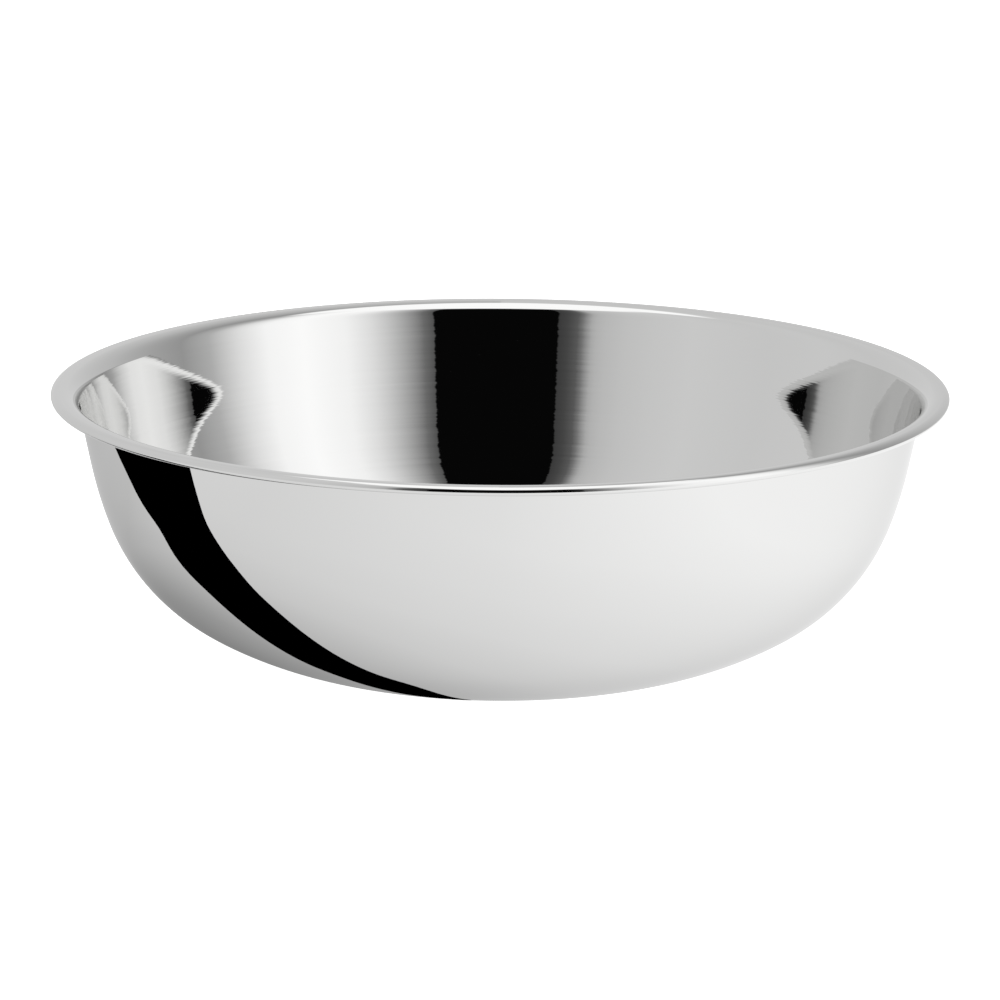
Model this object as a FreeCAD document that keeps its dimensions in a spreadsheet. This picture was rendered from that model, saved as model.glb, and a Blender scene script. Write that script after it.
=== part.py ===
"""Stainless steel mixing bowl, drawn from one disc of sheet.

The bowl is a single piece of steel: a small flat base, three tangent arcs that turn it
up into a straight steep wall, a rounded bend outwards, a narrow flat flange, and the
flange's edge turned down over a shoulder and curled under into a hollow bead that hides
the raw cut edge.

Frame: millimetres, +Z up, origin at the centre of the flat base's underside.
The section is drawn once, with every size bound to the sheet of driving dimensions,
and is turned a full circle about Z.
"""

import FreeCAD
import Part

import math
import os

import Sketcher

# Driving dimensions in millimetres and degrees: (alias, value, what it is).
DRIVING_DIMENSIONS = [
    ("rim_radius", 225.0, "outermost radius, over the rolled bead"),
    ("bowl_height", 140.0, "from the surface it stands on to the flange's top"),
    ("sheet_thickness", 0.6, "steel sheet, the same everywhere"),
    ("base_flat_radius", 63.3, "flat underside that the bowl stands on"),
    ("lower_wall_radius", 180.9, "outside radius of the arc beside the base"),
    ("lower_wall_angle", 29.9, "slope where the lower arc ends, in degrees"),
    ("middle_wall_radius", 98.2, "outside radius of the arc that turns the wall up"),
    ("upper_wall_radius", 198.2, "outside radius of the arc below the straight wall"),
    ("wall_slope", 78.1, "slope of the straight wall below the mouth, in degrees"),
    ("flange_width", 5.2, "from the end of the bend to the outermost edge"),
    ("mouth_bend_radius", 9.5, "inside of the bowl, where the wall turns outwards"),
    ("shoulder_radius", 4.6, "outside radius where the flange turns down"),
    ("shoulder_angle", 49.0, "how far it turns down before the bead, in degrees"),
    ("bead_radius", 1.75, "outside radius of the curled edge"),
    ("bead_wrap_angle", 295.0, "how far the edge is curled in all, in degrees"),
]

SHEET_NAME = "sizes"
NODE_NAME = "bowl_shell"
OUTPUT_FOLDER = "parts"
BAD_STATES = ("Invalid", "Error")
VOLUME_TOLERANCE = 0.002

# Places on a line or an arc that a sketch constraint can name.
START, END, CENTRE = 1, 2, 3
# The sketch's own horizontal axis and, as a geometry index, its origin point.
H_AXIS, ORIGIN = -1, -1


def make_sheet(doc):
    """The spreadsheet that holds the driving dimensions, one alias for each."""
    sheet = doc.addObject("Spreadsheet::Sheet", SHEET_NAME)
    for row, (alias, value, meaning) in enumerate(DRIVING_DIMENSIONS, start=1):
        sheet.set(f"A{row}", alias)
        sheet.set(f"B{row}", str(value))
        sheet.setAlias(f"B{row}", alias)
        sheet.set(f"C{row}", meaning)
    doc.recompute()
    return sheet


def polar(centre, radius, angle):
    """The point at that radius and angle, in radians, round centre."""
    return (
        centre[0] + radius * math.cos(angle),
        centre[1] + radius * math.sin(angle),
    )


class Section:
    """Where the section's lines and arcs lie, worked out from the driving dimensions.

    The wall's slope is measured from level. A wall arc runs between two slopes, and on
    it a slope of s is the point at the angle s - 90 degrees round the arc's centre.
    """

    def __init__(self, sheet):
        self.thickness = sheet.sheet_thickness
        self.height = sheet.bowl_height
        self.base_radius = sheet.base_flat_radius
        self.lower_radius = sheet.lower_wall_radius
        self.middle_radius = sheet.middle_wall_radius
        self.upper_radius = sheet.upper_wall_radius
        self.bend_radius = sheet.mouth_bend_radius
        self.shoulder_radius = sheet.shoulder_radius
        self.bead_radius = sheet.bead_radius
        self.shoulder_end = math.pi / 2 - math.radians(sheet.shoulder_angle)
        self.bead_end = math.pi / 2 - math.radians(sheet.bead_wrap_angle)

        self.bend_centre = (
            sheet.rim_radius - sheet.flange_width,
            self.height - self.bend_radius,
        )
        inward = self.shoulder_radius - self.bead_radius
        self.shoulder_centre = (
            sheet.rim_radius - self.bead_radius - inward * math.cos(self.shoulder_end),
            self.height - self.shoulder_radius,
        )
        self.bead_centre = polar(self.shoulder_centre, inward, self.shoulder_end)
        self.lower_centre = (self.base_radius, self.lower_radius)
        self.lower_slope = math.radians(sheet.lower_wall_angle)
        self.middle_centre = polar(
            self.lower_centre,
            self.lower_radius - self.middle_radius,
            self.lower_slope - math.pi / 2,
        )
        self.wall_slope = math.radians(sheet.wall_slope)
        self.middle_slope = self.solve_middle_slope()
        self.upper_centre = polar(
            self.middle_centre,
            self.middle_radius - self.upper_radius,
            self.middle_slope - math.pi / 2,
        )

    def solve_middle_slope(self):
        """The slope where the middle arc hands over to the upper arc.

        Distances are taken square to the straight wall. The upper arc must end on the
        wall's outside face, which the bend puts in its place, so they give the angle
        between the middle arc's end and the wall.
        """
        across, down = math.sin(self.wall_slope), -math.cos(self.wall_slope)
        bend_distance = self.bend_centre[0] * across + self.bend_centre[1] * down
        middle_distance = self.middle_centre[0] * across + self.middle_centre[1] * down
        wall_distance = bend_distance - (self.bend_radius - self.thickness)
        gap = middle_distance + self.upper_radius - wall_distance
        return self.wall_slope - math.acos(gap / (self.upper_radius - self.middle_radius))


def draw_arc(sketch, centre, radius, first_angle, last_angle):
    """Adds an anticlockwise arc, angles in radians, and returns its index."""
    circle = Part.Circle(
        FreeCAD.Vector(centre[0], centre[1], 0), FreeCAD.Vector(0, 0, 1), radius
    )
    return sketch.addGeometry(Part.ArcOfCircle(circle, first_angle, last_angle), False)


def draw_line(sketch, first, last):
    """Adds a line between two points and returns its index."""
    segment = Part.LineSegment(FreeCAD.Vector(*first, 0), FreeCAD.Vector(*last, 0))
    return sketch.addGeometry(segment, False)


def draw_skin(sketch, section, inset):
    """One face of the sheet, from the base's flat to the flange's flat.

    inset is 0 for the outside of the bowl and the sheet's thickness for the inside.
    Returns the indexes of the base line, the three wall arcs, the straight wall and
    the bend.
    """
    quarter = math.pi / 2
    base = draw_line(sketch, (0, inset), (section.base_radius, inset))
    lower = draw_arc(
        sketch,
        section.lower_centre,
        section.lower_radius - inset,
        -quarter,
        section.lower_slope - quarter,
    )
    middle = draw_arc(
        sketch,
        section.middle_centre,
        section.middle_radius - inset,
        section.lower_slope - quarter,
        section.middle_slope - quarter,
    )
    upper = draw_arc(
        sketch,
        section.upper_centre,
        section.upper_radius - inset,
        section.middle_slope - quarter,
        section.wall_slope - quarter,
    )
    bend_radius = section.bend_radius - section.thickness + inset
    wall = draw_line(
        sketch,
        polar(
            section.upper_centre,
            section.upper_radius - inset,
            section.wall_slope - quarter,
        ),
        polar(section.bend_centre, bend_radius, section.wall_slope + quarter),
    )
    bend = draw_arc(
        sketch,
        section.bend_centre,
        bend_radius,
        quarter,
        section.wall_slope + quarter,
    )
    return base, lower, middle, upper, wall, bend


def draw_flange(sketch, section, inset):
    """One face of the flange, its shoulder and its bead, inset below the top face."""
    level = section.height - inset
    flat = draw_line(
        sketch, (section.bend_centre[0], level), (section.shoulder_centre[0], level)
    )
    shoulder = draw_arc(
        sketch,
        section.shoulder_centre,
        section.shoulder_radius - inset,
        section.shoulder_end,
        math.pi / 2,
    )
    bead = draw_arc(
        sketch,
        section.bead_centre,
        section.bead_radius - inset,
        section.bead_end,
        section.shoulder_end,
    )
    return flat, shoulder, bead


def bind(sketch, name, expression):
    """Names the newest constraint and drives it from the sheet."""
    sketch.renameConstraint(sketch.ConstraintCount - 1, name)
    sketch.setExpression(f"Constraints.{name}", expression)


def constrain_skin(sketch, skin, flange):
    """Joins one face of the sheet end to end, smoothly, from base to bead."""
    base, lower, middle, upper, wall, bend = skin
    flat, shoulder, bead = flange
    joints = [
        (base, END, lower, START),
        (lower, END, middle, START),
        (middle, END, upper, START),
        (upper, END, wall, START),
        (wall, END, bend, END),
        (bend, START, flat, START),
        (flat, END, shoulder, END),
        (shoulder, START, bead, END),
    ]
    for first, first_place, second, second_place in joints:
        sketch.addConstraint(
            Sketcher.Constraint("Tangent", first, first_place, second, second_place)
        )
    sketch.addConstraint(Sketcher.Constraint("Horizontal", base))
    sketch.addConstraint(Sketcher.Constraint("Horizontal", flat))


def add_section_sketch(body, section):
    """The bowl's section, a closed outline in the plane of X and Z, fully constrained."""
    plane = next(
        feature
        for feature in body.Origin.OriginFeatures
        if getattr(feature, "Role", "") == "XZ_Plane"
    )
    sketch = body.newObject("Sketcher::SketchObject", "section_sketch")
    sketch.AttachmentSupport = (plane, [""])
    sketch.MapMode = "FlatFace"

    outside = draw_skin(sketch, section, 0.0)
    under_flange = draw_flange(sketch, section, section.thickness)
    inside = draw_skin(sketch, section, section.thickness)
    top_flange = draw_flange(sketch, section, 0.0)
    raw_edge = draw_line(
        sketch,
        polar(
            section.bead_centre,
            section.bead_radius - section.thickness,
            section.bead_end,
        ),
        polar(section.bead_centre, section.bead_radius, section.bead_end),
    )
    axis_edge = draw_line(sketch, (0, section.thickness), (0, 0))

    def join(kind, *places):
        sketch.addConstraint(Sketcher.Constraint(kind, *places))

    constrain_skin(sketch, outside, under_flange)
    constrain_skin(sketch, inside, top_flange)

    # The sheet's two faces share a centre at each arc, and are parallel at the wall.
    base, lower, middle, upper, wall, bend = outside
    top_flat, shoulder, bead_outside = top_flange
    under_shoulder, bead_inside = under_flange[1:]
    for outer_arc, inner_arc in zip(
        (lower, middle, upper, bend, shoulder, bead_outside),
        (*inside[1:4], inside[5], under_shoulder, bead_inside),
    ):
        join("Coincident", outer_arc, CENTRE, inner_arc, CENTRE)
    join("Parallel", wall, inside[4])

    # The raw edge closes the curl square to the sheet.
    join("Coincident", bead_inside, START, raw_edge, START)
    join("Coincident", bead_outside, START, raw_edge, END)
    join("PointOnObject", bead_inside, CENTRE, raw_edge)

    # The outline closes up the axis of the bowl.
    join("Coincident", inside[0], START, axis_edge, START)
    join("Coincident", axis_edge, END, outside[0], START)
    join("Coincident", outside[0], START, ORIGIN, START)
    join("Vertical", axis_edge)

    def size(name, expression, kind, *places):
        """A dimension constraint. places ends with its starting value."""
        join(kind, *places)
        bind(sketch, name, expression)

    size(
        "thickness",
        f"{SHEET_NAME}.sheet_thickness",
        "DistanceY",
        axis_edge,
        END,
        axis_edge,
        START,
        section.thickness,
    )
    size(
        "base_flat",
        f"{SHEET_NAME}.base_flat_radius",
        "DistanceX",
        ORIGIN,
        START,
        base,
        END,
        section.base_radius,
    )
    size(
        "lower_radius",
        f"{SHEET_NAME}.lower_wall_radius",
        "Radius",
        lower,
        section.lower_radius,
    )
    size(
        "lower_end",
        f"{SHEET_NAME}.base_flat_radius"
        f" + {SHEET_NAME}.lower_wall_radius * sin({SHEET_NAME}.lower_wall_angle)",
        "DistanceX",
        ORIGIN,
        START,
        lower,
        END,
        section.base_radius + section.lower_radius * math.sin(section.lower_slope),
    )
    size(
        "middle_radius",
        f"{SHEET_NAME}.middle_wall_radius",
        "Radius",
        middle,
        section.middle_radius,
    )
    size(
        "upper_radius",
        f"{SHEET_NAME}.upper_wall_radius",
        "Radius",
        upper,
        section.upper_radius,
    )
    size(
        "wall_slope",
        f"{SHEET_NAME}.wall_slope",
        "Angle",
        wall,
        section.wall_slope,
    )
    size(
        "bend_place",
        f"{SHEET_NAME}.rim_radius - {SHEET_NAME}.flange_width",
        "DistanceX",
        ORIGIN,
        START,
        bend,
        CENTRE,
        section.bend_centre[0],
    )
    size(
        "bend_inside_radius",
        f"{SHEET_NAME}.mouth_bend_radius - {SHEET_NAME}.sheet_thickness",
        "Radius",
        bend,
        section.bend_radius - section.thickness,
    )
    size(
        "flange_level",
        f"{SHEET_NAME}.bowl_height",
        "DistanceY",
        ORIGIN,
        START,
        top_flat,
        END,
        section.height,
    )
    size(
        "bead_place",
        f"{SHEET_NAME}.rim_radius - {SHEET_NAME}.bead_radius",
        "DistanceX",
        ORIGIN,
        START,
        bead_outside,
        CENTRE,
        section.bead_centre[0],
    )
    size(
        "shoulder_radius",
        f"{SHEET_NAME}.shoulder_radius",
        "Radius",
        shoulder,
        section.shoulder_radius,
    )
    size(
        "shoulder_end",
        f"{SHEET_NAME}.rim_radius"
        f" - {SHEET_NAME}.bead_radius * (1 - sin({SHEET_NAME}.shoulder_angle))",
        "DistanceX",
        ORIGIN,
        START,
        shoulder,
        START,
        polar(section.bead_centre, section.bead_radius, section.shoulder_end)[0],
    )
    size(
        "bead_outside_radius",
        f"{SHEET_NAME}.bead_radius",
        "Radius",
        bead_outside,
        section.bead_radius,
    )
    # The angle from level up to the raw edge, measured from the edge back to the sheet.
    size(
        "curl_end",
        f"90 - {SHEET_NAME}.bead_wrap_angle + 360",
        "Angle",
        raw_edge,
        section.bead_end + 2 * math.pi,
    )
    return sketch


def make_bowl(doc, section):
    """The bowl as a body: its section turned a full circle about Z."""
    body = doc.addObject("PartDesign::Body", NODE_NAME)
    body.Label = NODE_NAME
    body.Placement = FreeCAD.Placement()
    sketch = add_section_sketch(body, section)
    doc.recompute()
    turned = body.newObject("PartDesign::Revolution", "turned_section")
    turned.Profile = (sketch, [""])
    turned.ReferenceAxis = (sketch, ["V_Axis"])
    turned.Angle = 360.0
    body.Tip = turned
    doc.recompute()
    return body, sketch


def expected_volume(section):
    """The sheet's middle surface times its thickness, by Pappus's rule."""
    half = section.thickness / 2
    slopes = [0.0, section.lower_slope, section.middle_slope, section.wall_slope]
    walls = [
        (section.lower_centre, section.lower_radius),
        (section.middle_centre, section.middle_radius),
        (section.upper_centre, section.upper_radius),
    ]
    area = math.pi * section.base_radius**2
    for (centre, radius), first, last in zip(walls, slopes, slopes[1:]):
        middle = radius - half
        turned = middle * (math.cos(first) - math.cos(last))
        area += 2 * math.pi * middle * (centre[0] * (last - first) + turned)
    wall_start = polar(
        section.upper_centre,
        section.upper_radius - half,
        section.wall_slope - math.pi / 2,
    )
    bend = section.bend_radius - half
    wall_end = polar(section.bend_centre, bend, section.wall_slope + math.pi / 2)
    area += math.pi * (wall_start[0] + wall_end[0]) * math.dist(wall_start, wall_end)
    swept = bend * (1 - math.cos(section.wall_slope))
    along = section.bend_centre[0] * section.wall_slope
    area += 2 * math.pi * bend * (along - swept)
    area += math.pi * (section.shoulder_centre[0] ** 2 - section.bend_centre[0] ** 2)
    curls = [
        (section.shoulder_centre, section.shoulder_radius, math.pi / 2, section.shoulder_end),
        (section.bead_centre, section.bead_radius, section.shoulder_end, section.bead_end),
    ]
    for centre, radius, first, last in curls:
        middle = radius - half
        sideways = middle * (math.sin(first) - math.sin(last))
        area += 2 * math.pi * middle * (centre[0] * (first - last) + sideways)
    return area * section.thickness


def check_document(doc, sketch, body, section):
    """Stops the build unless every object computed and the bowl is as designed."""
    for item in doc.Objects:
        failed = [state for state in item.State if state in BAD_STATES]
        if failed:
            raise RuntimeError(f"{item.Label} failed to compute: {failed}")
    if sketch.solve() != 0:
        raise RuntimeError("the section sketch does not solve")
    shape = body.Shape
    if shape.isNull() or not shape.isValid() or len(shape.Solids) != 1:
        raise RuntimeError("the bowl is not one valid solid")
    expected = expected_volume(section)
    if abs(shape.Volume / expected - 1) > VOLUME_TOLERANCE:
        raise RuntimeError(f"volume is {shape.Volume:.0f}, not {expected:.0f}")
    box = shape.optimalBoundingBox()
    print(
        f"{body.Label}: {box.XLength:.2f} x {box.YLength:.2f} x {box.ZLength:.2f} mm, "
        f"{shape.Volume:.0f} mm3 (expected {expected:.0f}), "
        f"sketch fully constrained: {sketch.FullyConstrained}"
    )


def main():
    os.makedirs(OUTPUT_FOLDER, exist_ok=True)
    doc = FreeCAD.newDocument("mixing_bowl")
    section = Section(make_sheet(doc))
    body, sketch = make_bowl(doc, section)
    check_document(doc, sketch, body, section)
    body.Shape.exportStep(os.path.join(OUTPUT_FOLDER, f"{body.Label}.step"))


main()
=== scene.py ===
"""Stainless steel mixing bowl on a white studio floor.

Metres, +Z up, origin at the centre of the flat base's underside. The bowl is one mesh:
its section is worked out from a few sizes and turned about Z. The steel is a mirror, so
most of what it shows is the studio: a round white tent with a black opening for the
camera, a floor with the bowl's own shadow, and a curved black card lying on that floor.
"""

import math

import bpy
import numpy as np
from mathutils import Matrix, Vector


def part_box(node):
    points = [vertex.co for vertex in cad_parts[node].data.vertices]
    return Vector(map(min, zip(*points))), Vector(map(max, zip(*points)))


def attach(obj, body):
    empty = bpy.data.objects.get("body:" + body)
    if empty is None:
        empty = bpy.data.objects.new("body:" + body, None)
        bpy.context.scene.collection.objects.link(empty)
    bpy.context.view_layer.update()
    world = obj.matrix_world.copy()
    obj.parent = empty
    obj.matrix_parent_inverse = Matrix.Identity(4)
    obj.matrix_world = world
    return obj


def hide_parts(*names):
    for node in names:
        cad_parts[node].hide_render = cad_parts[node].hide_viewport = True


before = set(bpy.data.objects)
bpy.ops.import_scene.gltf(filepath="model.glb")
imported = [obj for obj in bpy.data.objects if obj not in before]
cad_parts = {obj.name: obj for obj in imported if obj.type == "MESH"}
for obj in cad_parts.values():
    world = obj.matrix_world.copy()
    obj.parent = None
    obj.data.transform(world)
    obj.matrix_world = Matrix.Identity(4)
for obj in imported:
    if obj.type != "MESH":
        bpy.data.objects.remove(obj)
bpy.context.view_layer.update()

MM = 0.001
MICRON = 1e-6
low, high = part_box("bowl_shell")
RIM_RADIUS = (high.x - low.x) / 2
BOWL_HEIGHT = high.z

# ---------------------------------------------------------------- sizes of the bowl

# The wall's radii are those of its outside face, from the base's flat upwards.
SHEET = 0.6 * MM
BASE_FLAT_RADIUS = 63.3 * MM
LOWER_RADIUS = 180.9 * MM
MIDDLE_RADIUS = 98.2 * MM
UPPER_RADIUS = 198.2 * MM
LOWER_SLOPE = math.radians(29.9)
WALL_SLOPE = math.radians(78.1)
# The bend at the mouth, the level flange, its turned-down shoulder and the curled bead.
# These radii are those of the face that shows from above.
BEND_RADIUS = 9.5 * MM
FLANGE_WIDTH = 5.2 * MM
SHOULDER_RADIUS = 4.6 * MM
SHOULDER_TURN = math.radians(49)
BEAD_RADIUS = 1.75 * MM
BEAD_WRAP = math.radians(295)
# A drawn wall has no sudden change of curvature: each one is spread over this much.
CURVATURE_BLEND = 24 * MM

# The mesh: facets round the bowl, the spacing of its rows up the wall, and the rows of
# the base and of each arc of the edge. The wall's curve is added up in finer steps.
SEGMENTS = 264
WALL_STEP = 3.2 * MM
FINE_STEPS = 16
BASE_ROWS = 4
BEND_ROWS = 48
SHOULDER_ROWS = 12
BEAD_ROWS = 24

# ---------------------------------------------------------------- finishes of the steel

STEEL_COLOUR = (0.80, 0.80, 0.795)
OUTSIDE, FLANGE, INSIDE = range(3)
FINISHES = [
    ("steel_outside", {
        "roughness": (0.006, 0.016),
        "line_pitch": 1.2 * MM,
        "line_height": 0.15 * MICRON,
        "streak_lean": 0.002,
        "smudge": 60 * MM,
        "edge": 0.84,
    }),
    ("steel_flange", {
        "roughness": (0.012, 0.03),
        "line_pitch": 0.7 * MM,
        "line_height": 0.3 * MICRON,
        "streak_lean": 0.002,
        "smudge": 25 * MM,
        "edge": 1.0,
    }),
    ("steel_inside", {
        "roughness": (0.010, 0.025),
        "line_pitch": 1.3 * MM,
        "line_height": 3.5 * MICRON,
        "streak_lean": 0.013,
        "smudge": 40 * MM,
        "edge": 1.0,
    }),
]

# ---------------------------------------------------------------- sizes of the studio

# Tones here are sRGB values from 0 to 255, as the polished steel shows them.
TENT_RADIUS = 1.9
# The tent's opening, in degrees either side of the camera's own direction. It is wider
# higher up: at FLARE_RISE degrees above level by the share OPENING_FLARE of itself.
OPENING_LEFT = -17.0
OPENING_RIGHT = 19.7
EDGE_SOFTNESS = 0.4
OPENING_TONE = 6
OPENING_FLARE = 0.35
FLARE_RISE = 58.0
FLARE_POWER = 2.5
# The bright ceiling starts and is whole at these shares of the way from level to
# straight up. It comes lower by CEILING_DROP degrees at the back, and the back starts
# and is whole at these shares of a half turn away from the camera.
CEILING_FROM, CEILING_TO = 0.785, 0.835
BACK_FROM, BACK_TO = 0.60, 0.75
CEILING_DROP = 10.0
CEILING_TONE = 250
# The cloth on each side: degrees to the right of the camera's own direction, and tone.
LEFT_CLOTH = [
    (-180, 195), (-130, 193), (-106, 197), (-84, 195), (-58, 199), (-46, 195),
    (-37, 190), (-31, 183), (-28.3, 177), (-26.8, 168), (-25.6, 150), (-24.3, 118),
    (-22.6, 86), (-20, 68), (-17, 56),
]
RIGHT_CLOTH = [
    (19.5, 78), (22.5, 104), (24.5, 130), (29, 168), (33.5, 196), (38.5, 219),
    (46, 240), (60, 250), (72, 243), (82, 217), (93, 170), (104, 145), (140, 178),
    (180, 195),
]

FLOOR_HALF = 40.0
# The floor, the card and the floor that the steel shows lie just under the bowl.
FLOOR_LEVEL = -0.2 * MM
CARD_LEVEL = -0.4 * MM
REFLECTED_FLOOR_LEVEL = -0.6 * MM
# Painted light on the reflected floor: its tone from left to right, brighter towards the
# right, by share of a width of 8 rim radii.
FLOOR_SPAN = 8 * RIM_RADIUS
FLOOR_LIGHT_TONES = [(0.33, 211), (0.5, 222), (0.66, 239)]
# How far to the left of the bowl the middle of its shadow lies, and how much light is
# left at a distance from there, as a share of the rim's width.
SHADOW_SHIFT = 0.45 * RIM_RADIUS
SHADOW_STOPS = [
    (0.10, 0.36), (0.22, 0.50), (0.30, 0.65), (0.40, 0.82), (0.50, 0.91), (0.62, 0.96),
    (0.80, 1.0),
]
# The share of light missing behind the bowl on the left.
CORNER_SHADE = 0.20

# The card's two long edges, as shares of the rim's radius: x, edge near the bowl, far
# edge.
CARD_EDGES = [
    (-0.06, -0.37, -0.41),
    (-0.16, -0.385, -0.505),
    (-0.30, -0.42, -0.565),
    (-0.60, -0.455, -0.645),
    (-0.90, -0.39, -0.655),
    (-1.20, -0.215, -0.605),
    (-1.50, 0.01, -0.54),
    (-1.75, 0.40, -0.47),
    (-1.95, 0.95, -0.43),
]
CARD_POINTS = 60

# The camera looks from the front (-Y). Angles in degrees: its height above the middle of
# the mouth, how far it looks down, and its small turns sideways and about its own line.
LENS = 323.52
CAMERA_DISTANCE = 4.5
CAMERA_RISE = 12.2263
CAMERA_PITCH = 12.9414
CAMERA_YAW = -0.0021
CAMERA_ROLL = 0.33


# ---------------------------------------------------------------- shape


def smooth_step(x):
    """Rises from 0 to 1 as x goes from -1 to 1, with no kink at either end."""
    x = np.clip(x, -1, 1)
    return 0.5 + 0.5 * x + np.sin(math.pi * x) / (2 * math.pi)


def wall_points(middle_slope):
    """Outside face from the base's flat to the straight wall: radius, height, slope."""
    turns = [
        (LOWER_RADIUS, LOWER_SLOPE),
        (MIDDLE_RADIUS, middle_slope - LOWER_SLOPE),
        (UPPER_RADIUS, WALL_SLOPE - middle_slope),
    ]
    ends = np.cumsum([0.0] + [radius * angle for radius, angle in turns])
    curvatures = [0.0] + [1 / radius for radius, _ in turns] + [0.0]
    # It starts inside the flat, so that the first change of curvature is whole.
    start = -CURVATURE_BLEND / 2
    finish = ends[-1] + CURVATURE_BLEND / 2
    count = round((finish - start) / WALL_STEP) * FINE_STEPS
    along = np.linspace(start, finish, count + 1)
    curvature = np.zeros_like(along)
    for place, before, after in zip(ends, curvatures, curvatures[1:]):
        spread = smooth_step((along - place) / (CURVATURE_BLEND / 2))
        curvature += (after - before) * spread

    def integrate(values):
        steps = (values[1:] + values[:-1]) / 2 * np.diff(along)
        return np.concatenate([[0.0], np.cumsum(steps)])

    slope = integrate(curvature)
    radius = BASE_FLAT_RADIUS + start + integrate(np.cos(slope))
    height = integrate(np.sin(slope))
    return radius[::FINE_STEPS], height[::FINE_STEPS], slope[::FINE_STEPS]


BEND_CENTRE = (RIM_RADIUS - FLANGE_WIDTH, BOWL_HEIGHT - BEND_RADIUS)
SHOULDER_CENTRE = (
    RIM_RADIUS - BEAD_RADIUS - (SHOULDER_RADIUS - BEAD_RADIUS) * math.sin(SHOULDER_TURN),
    BOWL_HEIGHT - SHOULDER_RADIUS,
)
BEAD_CENTRE = (
    RIM_RADIUS - BEAD_RADIUS,
    SHOULDER_CENTRE[1] + (SHOULDER_RADIUS - BEAD_RADIUS) * math.cos(SHOULDER_TURN),
)


def wall_miss(middle_slope):
    """How far outside its place the straight wall would be."""
    radius, height, _ = wall_points(middle_slope)
    across, down = math.sin(WALL_SLOPE), -math.cos(WALL_SLOPE)
    wall = radius[-1] * across + height[-1] * down
    bend = BEND_CENTRE[0] * across + BEND_CENTRE[1] * down
    return wall - (bend - (BEND_RADIUS - SHEET))


def solve_middle_slope():
    """The slope where the middle arc ends, so that the wall meets the bend."""
    shallow, steep = math.radians(60), math.radians(77)
    for _ in range(60):
        middle = (shallow + steep) / 2
        if wall_miss(shallow) * wall_miss(middle) <= 0:
            steep = middle
        else:
            shallow = middle
    return (shallow + steep) / 2


def arc(centre, radius, slopes):
    """Rows of radius, height and slope on an arc. Slope 0 is straight above its centre."""
    return [
        (centre[0] - radius * math.sin(slope), centre[1] + radius * math.cos(slope), slope)
        for slope in slopes
    ]


def section():
    """The outside face of the steel, from the axis to the end of the curled edge.

    Rows of radius, height and slope, where the steel's outward normal is
    (sin slope, -cos slope), and how many of them belong to the base and the wall.
    """
    radius, height, slope = wall_points(solve_middle_slope())
    wall = [(r, 0.0, 0.0) for r in np.linspace(0, radius[0], BASE_ROWS + 1)[:-1]]
    wall += list(zip(radius, height, slope))
    bend = np.linspace(WALL_SLOPE, 0, BEND_ROWS)
    shoulder = np.linspace(0, -SHOULDER_TURN, SHOULDER_ROWS)
    bead = np.linspace(-SHOULDER_TURN, -BEAD_WRAP, BEAD_ROWS)[1:]
    edge = (
        arc(BEND_CENTRE, BEND_RADIUS - SHEET, bend)
        + arc(SHOULDER_CENTRE, SHOULDER_RADIUS - SHEET, shoulder)
        + arc(BEAD_CENTRE, BEAD_RADIUS - SHEET, bead)
    )
    return np.array(wall + edge), len(wall)


def turned_mesh(name):
    """The bowl's whole skin as one closed mesh, with exact normals for its mirror."""
    rows, wall_rows = section()
    normals = np.stack([np.sin(rows[:, 2]), -np.cos(rows[:, 2])], 1)
    under = rows[:, :2]
    over = under - SHEET * normals
    # Up the outside, round the curled edge and back down the inside.
    outline = np.concatenate([under, over[::-1]])
    facing = np.concatenate([normals, -normals[::-1]])
    on_axis = outline[:, 0] < 1e-9
    edge_rows = len(rows) - wall_rows
    finishes = [OUTSIDE] * wall_rows + [FLANGE] * (2 * edge_rows - 1) + [INSIDE] * wall_rows

    turns = np.arange(SEGMENTS) * 2 * math.pi / SEGMENTS
    cosines, sines = np.cos(turns), np.sin(turns)
    points, point_normals, first = [], [], []
    for (radius, height), (outward, upward), single in zip(outline, facing, on_axis):
        first.append(len(points))
        if single:
            points.append((0.0, 0.0, height))
            point_normals.append((0.0, 0.0, upward))
            continue
        for c, s in zip(cosines, sines):
            points.append((radius * c, radius * s, height))
            point_normals.append((outward * c, outward * s, upward))

    faces, kinds = [], []
    for i, finish in enumerate(finishes):
        a, b = first[i], first[i + 1]
        for k in range(SEGMENTS):
            after = (k + 1) % SEGMENTS
            if on_axis[i]:
                faces.append((a, b + after, b + k))
            elif on_axis[i + 1]:
                faces.append((a + k, a + after, b))
            else:
                faces.append((a + k, a + after, b + after, b + k))
            kinds.append(finish)
    mesh = bpy.data.meshes.new(name)
    mesh.from_pydata(points, [], faces)
    mesh.polygons.foreach_set("material_index", kinds)
    mesh.polygons.foreach_set("use_smooth", [True] * len(faces))
    mesh.update()
    mesh.normals_split_custom_set_from_vertices(point_normals)
    return mesh


# ---------------------------------------------------------------- steel


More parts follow.
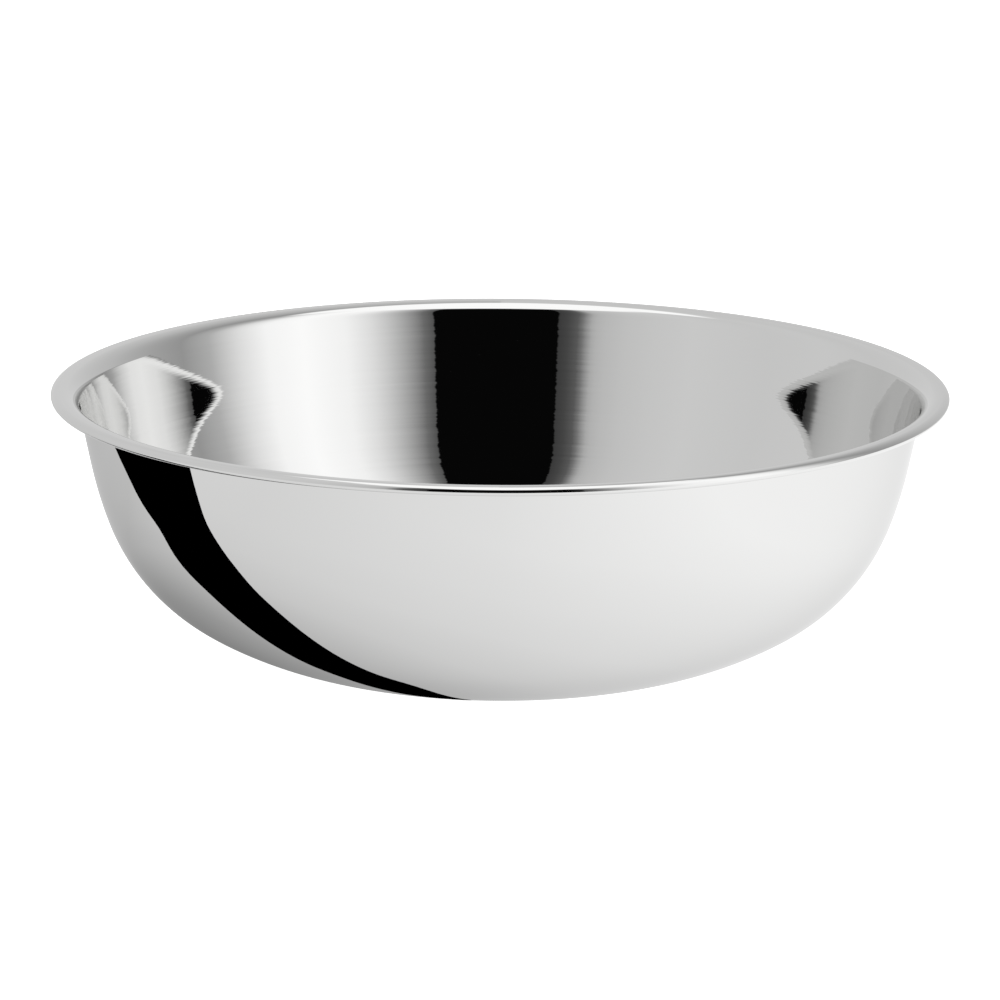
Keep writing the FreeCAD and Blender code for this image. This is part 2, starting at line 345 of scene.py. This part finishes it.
class Nodes:
    """Short calls for building a node tree."""

    def __init__(self, tree):
        self.tree = tree
        tree.nodes.clear()

    def add(self, kind, **settings):
        node = self.tree.nodes.new(kind)
        for name, value in settings.items():
            setattr(node, name, value)
        return node

    def put(self, value, socket):
        """Sets a socket to a number, or feeds it from another node."""
        if isinstance(value, (int, float)):
            socket.default_value = value
        else:
            self.tree.links.new(value, socket)

    def math(self, operation, *values):
        node = self.add("ShaderNodeMath", operation=operation)
        for value, socket in zip(values, node.inputs):
            self.put(value, socket)
        return node.outputs[0]

    def vector(self, operation, *vectors):
        node = self.add("ShaderNodeVectorMath", operation=operation)
        for vector, socket in zip(vectors, node.inputs):
            self.put(vector, socket)
        return node.outputs[0]

    def place(self):
        """The point on the surface, in the object's own space."""
        return self.add("ShaderNodeTexCoord").outputs["Object"]

    def split(self, vector):
        node = self.add("ShaderNodeSeparateXYZ")
        self.put(vector, node.inputs[0])
        return node.outputs

    def combine(self, *values):
        node = self.add("ShaderNodeCombineXYZ")
        for value, socket in zip(values, node.inputs):
            self.put(value, socket)
        return node.outputs[0]

    def length(self, x, y):
        squares = self.math("ADD", self.math("MULTIPLY", x, x), self.math("MULTIPLY", y, y))
        return self.math("SQRT", squares)

    def noise(self, place, **settings):
        """Noise with the given inputs. A W input makes it a different noise."""
        node = self.add("ShaderNodeTexNoise")
        if "W" in settings:
            node.noise_dimensions = "4D"
        for name, value in settings.items():
            node.inputs[name].default_value = value
        self.put(place, node.inputs["Vector"])
        return node.outputs["Fac"]

    def mix(self, share, first, second):
        node = self.add("ShaderNodeMix", data_type="FLOAT")
        self.put(share, node.inputs[0])
        self.put(first, node.inputs[2])
        self.put(second, node.inputs[3])
        return node.outputs[0]

    def step(self, source, at_zero, at_one):
        """Goes from 0 to 1 as source goes from at_zero to at_one."""
        node = self.add("ShaderNodeMapRange")
        node.inputs["From Min"].default_value = at_zero
        node.inputs["From Max"].default_value = at_one
        self.put(source, node.inputs["Value"])
        return node.outputs[0]

    def ramp(self, source, stops, interpolation="LINEAR"):
        """A ramp of greys. stops are (position from 0 to 1, value)."""
        node = self.add("ShaderNodeValToRGB")
        node.color_ramp.interpolation = interpolation
        elements = node.color_ramp.elements
        while len(elements) > 1:
            elements.remove(elements[-1])
        elements[0].position = stops[0][0]
        elements[0].color = (*[stops[0][1]] * 3, 1)
        for place, value in stops[1:]:
            elements.new(place).color = (value, value, value, 1)
        self.put(source, node.inputs[0])
        return node.outputs[0]


def new_material(name, shader_kind):
    """A material with one shader: the material, its nodes and the shader."""
    material = bpy.data.materials.new(name)
    material.use_nodes = True
    nodes = Nodes(material.node_tree)
    output = nodes.add("ShaderNodeOutputMaterial")
    shader = nodes.add(shader_kind)
    nodes.put(shader.outputs[0], output.inputs["Surface"])
    return material, nodes, shader


def steel(name, roughness, line_pitch, line_height, streak_lean, smudge, edge):
    """Polished steel with turned lines that run round the bowl.

    roughness is (lowest, highest), line_pitch the lines' usual spacing and line_height
    their depth, in metres. streak_lean is how far a line leans sideways, as a slope, and
    smudge is the size of the patches that dull the polish. edge is how much of its usual
    brightness the steel keeps where it is seen at a glancing angle.
    """
    material, nodes, shader = new_material(name, "ShaderNodeBsdfPrincipled")
    shader.inputs["Metallic"].default_value = 1.0
    shader.inputs["Base Color"].default_value = (*STEEL_COLOUR, 1)
    shader.inputs["Specular Tint"].default_value = (edge, edge, edge, 1)

    place = nodes.place()
    x, y, z = nodes.split(place)
    from_axis = nodes.length(x, y)
    # Grows steadily along the section, from the middle of the base to the edge.
    along = nodes.math("ADD", from_axis, z)
    # The direction outwards, which has no meaning right at the axis.
    safe = nodes.math("MAXIMUM", from_axis, 4 * MM)
    out_x = nodes.math("DIVIDE", x, safe)
    out_y = nodes.math("DIVIDE", y, safe)
    line_place = nodes.combine(out_x, out_y, nodes.math("DIVIDE", along, line_pitch))
    lines = nodes.noise(line_place, Scale=1.0, Detail=1.0, Roughness=0.6)
    bump = nodes.add("ShaderNodeBump")
    bump.inputs["Strength"].default_value = 1.0
    bump.inputs["Distance"].default_value = line_height
    nodes.put(lines, bump.inputs["Height"])

    # Each line also leans a little sideways, which draws it out into a faint streak.
    streaks = nodes.noise(line_place, Scale=0.8, Detail=2.0, W=7.0)
    lean = nodes.math("MULTIPLY", nodes.math("SUBTRACT", streaks, 0.5), streak_lean)
    lean_x = nodes.math("MULTIPLY", out_y, nodes.math("MULTIPLY", lean, -1.0))
    lean_y = nodes.math("MULTIPLY", out_x, lean)
    leaning = nodes.vector("ADD", bump.outputs[0], nodes.combine(lean_x, lean_y))
    nodes.put(nodes.vector("NORMALIZE", leaning), shader.inputs["Normal"])

    # The polish is duller in soft patches and, less so, along the lines.
    patches = nodes.noise(place, Scale=1 / smudge, Detail=3.0)
    from_patches = nodes.math("MULTIPLY", patches, 0.6)
    from_lines = nodes.math("MULTIPLY", lines, 0.4)
    dullness = nodes.math("ADD", from_patches, from_lines)
    rough = nodes.ramp(dullness, [(0.3, roughness[0]), (0.7, roughness[1])])
    nodes.put(rough, shader.inputs["Roughness"])
    return material


def make_bowl():
    mesh = turned_mesh("mixing_bowl")
    bowl = bpy.data.objects.new("mixing_bowl", mesh)
    bpy.context.scene.collection.objects.link(bowl)
    for name, settings in FINISHES:
        mesh.materials.append(steel(name, **settings))
    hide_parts("bowl_shell")
    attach(bowl, "root")


# ---------------------------------------------------------------- studio


def reflected(tone):
    """The brightness that polished steel shows as this sRGB tone, from 0 to 255."""
    share = tone / 255
    linear = share / 12.92 if share <= 0.04045 else ((share + 0.055) / 1.055) ** 2.4
    return linear / STEEL_COLOUR[0]


def stage_mesh(name, points, faces, material):
    mesh = bpy.data.meshes.new(name)
    mesh.from_pydata(points, [], faces)
    mesh.materials.append(material)
    item = bpy.data.objects.new(name, mesh)
    bpy.context.scene.collection.objects.link(item)
    return item


def tent_material():
    """White cloth lit from outside: grey left, bright right, black opening in front."""
    material, nodes, glow = new_material("studio_tent", "ShaderNodeEmission")
    x, y, z = nodes.split(nodes.vector("NORMALIZE", nodes.place()))
    # Degrees to the right of the camera's side, and degrees above level.
    turn = nodes.math("DEGREES", nodes.math("ARCTAN2", x, nodes.math("MULTIPLY", y, -1.0)))
    rise = nodes.math("DEGREES", nodes.math("ARCSINE", z))
    # The opening is wider higher up.
    higher = nodes.math("DIVIDE", nodes.math("MAXIMUM", rise, 0.0), FLARE_RISE)
    flare = nodes.math("MULTIPLY", OPENING_FLARE, nodes.math("POWER", higher, FLARE_POWER))
    sideways = nodes.math("DIVIDE", turn, nodes.math("ADD", 1.0, flare))
    share = nodes.math("ADD", nodes.math("DIVIDE", sideways, 360.0), 0.5)

    def cloth_ramp(tones):
        stops = [(0.5 + angle / 360, reflected(tone)) for angle, tone in tones]
        return nodes.ramp(share, stops)

    is_right = nodes.math("GREATER_THAN", turn, 0.0)
    cloth = nodes.mix(is_right, cloth_ramp(LEFT_CLOTH), cloth_ramp(RIGHT_CLOTH))
    # The black opening, with narrow soft edges.
    past_left = nodes.step(sideways, OPENING_LEFT + EDGE_SOFTNESS, OPENING_LEFT)
    past_right = nodes.step(sideways, OPENING_RIGHT - EDGE_SOFTNESS, OPENING_RIGHT)
    covered = nodes.math("MAXIMUM", past_left, past_right)
    lit = nodes.math("MULTIPLY", cloth, covered)
    sides = nodes.math("ADD", lit, reflected(OPENING_TONE))
    # Overhead it closes into a bright ceiling, which comes lower down at the back.
    turned_away = nodes.math("DIVIDE", nodes.math("ABSOLUTE", turn), 180.0)
    at_back = nodes.ramp(turned_away, [(BACK_FROM, 0.0), (BACK_TO, 1.0)], "EASE")
    above = nodes.math("ADD", rise, nodes.math("MULTIPLY", at_back, CEILING_DROP))
    upward = nodes.math("DIVIDE", above, 90.0)
    closed = nodes.ramp(upward, [(CEILING_FROM, 0.0), (CEILING_TO, 1.0)], "EASE")
    nodes.put(nodes.mix(closed, sides, reflected(CEILING_TONE)), glow.inputs["Strength"])
    return material


def make_tent():
    """A half sphere of cloth round the bowl. The camera looks in through its opening."""
    points, faces = [], []
    rings, around = 24, 96
    for i in range(rings):
        rise = math.pi / 2 * i / rings
        for k in range(around):
            turn = 2 * math.pi * k / around
            points.append((
                TENT_RADIUS * math.cos(rise) * math.cos(turn),
                TENT_RADIUS * math.cos(rise) * math.sin(turn),
                TENT_RADIUS * math.sin(rise),
            ))
    top = len(points)
    points.append((0, 0, TENT_RADIUS))
    for i in range(rings - 1):
        a, b = i * around, (i + 1) * around
        for k in range(around):
            after = (k + 1) % around
            faces.append((a + k, a + after, b + after, b + k))
    last = (rings - 1) * around
    faces += [(last + k, last + (k + 1) % around, top) for k in range(around)]
    tent = stage_mesh("studio_tent", points, faces, tent_material())
    tent.visible_camera = False


def floor_mesh(name, level, material):
    """A level square of floor, centred under the bowl."""
    half = FLOOR_HALF
    corners = [
        (-half, -half, level),
        (half, -half, level),
        (half, half, level),
        (-half, half, level),
    ]
    return stage_mesh(name, corners, [(0, 1, 2, 3)], material)


def make_floor():
    """The floor that the camera sees. It glows, so that it stays white by the bowl."""
    material = bpy.data.materials.new("studio_floor")
    material.use_nodes = True
    shader = material.node_tree.nodes["Principled BSDF"]
    shader.inputs["Base Color"].default_value = (0.9, 0.9, 0.9, 1)
    shader.inputs["Roughness"].default_value = 1.0
    shader.inputs["Emission Color"].default_value = (1, 1, 1, 1)
    shader.inputs["Emission Strength"].default_value = 0.97
    floor = floor_mesh("studio_floor", FLOOR_LEVEL, material)
    floor.visible_glossy = False


def make_reflected_floor():
    """The same floor as the steel shows it: a glow with painted light, brighter to the
    right, and the bowl's painted shadow on it.
    """
    material, nodes, glow = new_material("studio_floor_reflected", "ShaderNodeEmission")
    x, y, _ = nodes.split(nodes.place())
    across = nodes.math("ADD", 0.5, nodes.math("DIVIDE", x, FLOOR_SPAN))
    # Painted light: the white floor glows brighter towards the right.
    white = nodes.ramp(across, [(place, reflected(tone)) for place, tone in FLOOR_LIGHT_TONES])
    # The bowl's own soft shadow, which falls to the left.
    from_shadow = nodes.length(nodes.math("ADD", x, SHADOW_SHIFT), y)
    shade = nodes.ramp(nodes.math("DIVIDE", from_shadow, 2 * RIM_RADIUS), SHADOW_STOPS)
    # Behind the bowl and to its left the light falls off.
    behind = nodes.step(y, -0.5 * RIM_RADIUS, 0.4 * RIM_RADIUS)
    to_left = nodes.step(x, 0.0, -RIM_RADIUS)
    in_corner = nodes.math("MULTIPLY", behind, to_left)
    corner = nodes.math("SUBTRACT", 1.0, nodes.math("MULTIPLY", in_corner, CORNER_SHADE))
    light = nodes.math("MULTIPLY", shade, corner)
    nodes.put(nodes.math("MULTIPLY", white, light), glow.inputs["Strength"])
    seen = floor_mesh("studio_floor_reflected", REFLECTED_FLOOR_LEVEL, material)
    seen.visible_camera = False
    seen.visible_diffuse = False


def smooth_curve(places, x, y):
    """A smooth curve through the points (x, y), x in falling order, at those places."""
    slopes = np.gradient(y, x)
    i = np.clip(np.searchsorted(-x, -places, side="right") - 1, 0, len(x) - 2)
    width = x[i + 1] - x[i]
    t = (places - x[i]) / width
    return (
        y[i] * (1 + 2 * t) * (1 - t) ** 2
        + width * slopes[i] * t * (1 - t) ** 2
        + y[i + 1] * t * t * (3 - 2 * t)
        + width * slopes[i + 1] * t * t * (t - 1)
    )


def make_card():
    """The black card, which makes the curved black band on the outside of the bowl."""
    material, _, glow = new_material("studio_card", "ShaderNodeEmission")
    glow.inputs["Color"].default_value = (0, 0, 0, 1)
    x, near, far = np.array(CARD_EDGES).T * RIM_RADIUS
    places = np.linspace(x[0], x[-1], CARD_POINTS)
    near_edge = [(a, b, CARD_LEVEL) for a, b in zip(places, smooth_curve(places, x, near))]
    far_edge = [(a, b, CARD_LEVEL) for a, b in zip(places, smooth_curve(places, x, far))]
    points = near_edge + far_edge[::-1]
    card = stage_mesh("studio_card", points, [tuple(range(len(points)))], material)
    card.visible_camera = False
    card.visible_diffuse = False


def make_camera():
    """A long lens a little above the rim."""
    data = bpy.data.cameras.new("camera")
    data.lens = LENS
    data.sensor_width = 36.0
    data.clip_end = 200.0
    camera = bpy.data.objects.new("camera", data)
    bpy.context.scene.collection.objects.link(camera)
    rise = math.radians(CAMERA_RISE)
    place = (
        0.0,
        -CAMERA_DISTANCE * math.cos(rise),
        BOWL_HEIGHT + CAMERA_DISTANCE * math.sin(rise),
    )
    camera.matrix_world = (
        Matrix.Translation(place)
        @ Matrix.Rotation(math.radians(CAMERA_YAW), 4, "Z")
        @ Matrix.Rotation(math.radians(90 - CAMERA_PITCH), 4, "X")
        @ Matrix.Rotation(math.radians(CAMERA_ROLL), 4, "Z")
    )
    bpy.context.scene.camera = camera


def set_air_and_film():
    """A white backdrop, plain tones, and enough bounces for steel that mirrors steel."""
    world = bpy.data.worlds.new("studio_air")
    world.use_nodes = True
    background = world.node_tree.nodes["Background"]
    background.inputs["Color"].default_value = (1, 1, 1, 1)
    background.inputs["Strength"].default_value = 1.0
    scene = bpy.context.scene
    scene.world = world
    scene.view_settings.view_transform = "Standard"
    scene.cycles.max_bounces = 24
    scene.cycles.glossy_bounces = 16


make_bowl()
make_tent()
make_floor()
make_reflected_floor()
make_card()
make_camera()
set_air_and_film()
